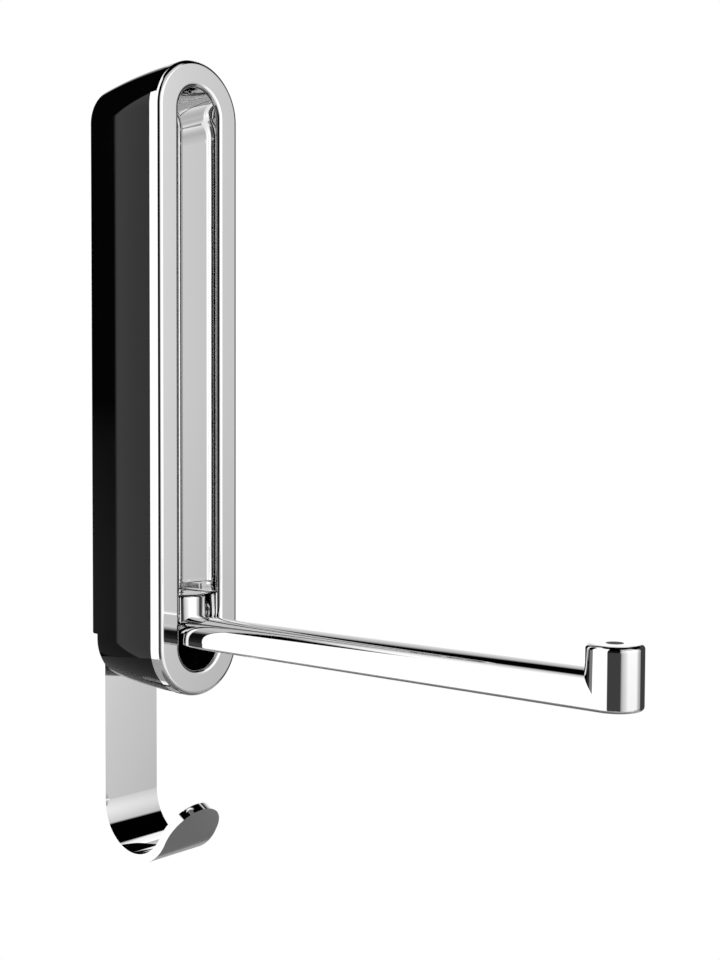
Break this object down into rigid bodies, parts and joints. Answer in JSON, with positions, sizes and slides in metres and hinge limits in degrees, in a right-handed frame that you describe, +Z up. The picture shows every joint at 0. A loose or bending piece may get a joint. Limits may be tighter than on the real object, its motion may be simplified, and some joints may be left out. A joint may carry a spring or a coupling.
{
  "type": "wall mounted clothes valet",
  "caption": "Slim wall mounted clothes valet: an upright rounded case whose arm folds down to carry hangers and folds up flush into its slot, with a fixed coat hook below.",
  "frame": {"origin": "on the wall plane, midway between the two wall screw holes, which is behind the middle of the case", "axes": "+Z up, +Y into the wall, so the case's face and the open arm point along -Y; +X to the right of someone facing the wall"},
  "size_m": [0.04, 0.2332, 0.3091],
  "materials": {
    "shell_black": "high gloss moulded black",
    "bezel_chrome": "polished chrome plate",
    "liner_chrome": "polished chrome plate",
    "well_black": "matt black moulding",
    "chassis_steel": "zinc plated sheet",
    "hook_chrome": "polished chrome plate",
    "stud_steel": "plain zinc",
    "lock_screw_black": "black oxide",
    "bezel_screw_black": "black oxide",
    "stop_block_chrome": "polished chrome plate",
    "stop_screw_black": "black oxide",
    "pad_rubber": "matt",
    "left_bush_steel": "ground",
    "right_bush_steel": "ground",
    "left_washer_nylon": "natural nylon",
    "right_washer_nylon": "natural nylon",
    "arm_chrome": "polished chrome plate",
    "plug_rubber": "matt grey",
    "pin_steel": "ground",
    "set_screw_black": "black oxide",
    "wave_steel": "spring steel",
    "clip_steel": "phosphated spring steel"
  },
  "bodies": {
    "case": {"housing_shell": "shell_black", "bezel_ring": "bezel_chrome", "recess_liner": "liner_chrome", "hinge_well": "well_black", "chassis": "chassis_steel", "hook_strip": "hook_chrome", "hanging_studs": "stud_steel", "lock_screw": "lock_screw_black", "bezel_screws": "bezel_screw_black", "stop_block": "stop_block_chrome", "stop_screws": "stop_screw_black", "stop_pad": "pad_rubber", "left_bush": "left_bush_steel", "right_bush": "right_bush_steel", "left_friction_washer": "left_washer_nylon", "right_friction_washer": "right_washer_nylon"},
    "arm": {"folding_arm": "arm_chrome", "knob_plug": "plug_rubber", "pivot_pin": "pin_steel", "pin_set_screw": "set_screw_black", "wave_washer": "wave_steel", "retaining_clip": "clip_steel"}
  },
  "joints": [
    {"name": "arm_fold", "type": "hinge", "parent": "case", "child": "arm", "pos_m": [0, -0.03355, -0.0899], "axis": [-1, 0, 0], "range_deg": [0, 90]}
  ]
}
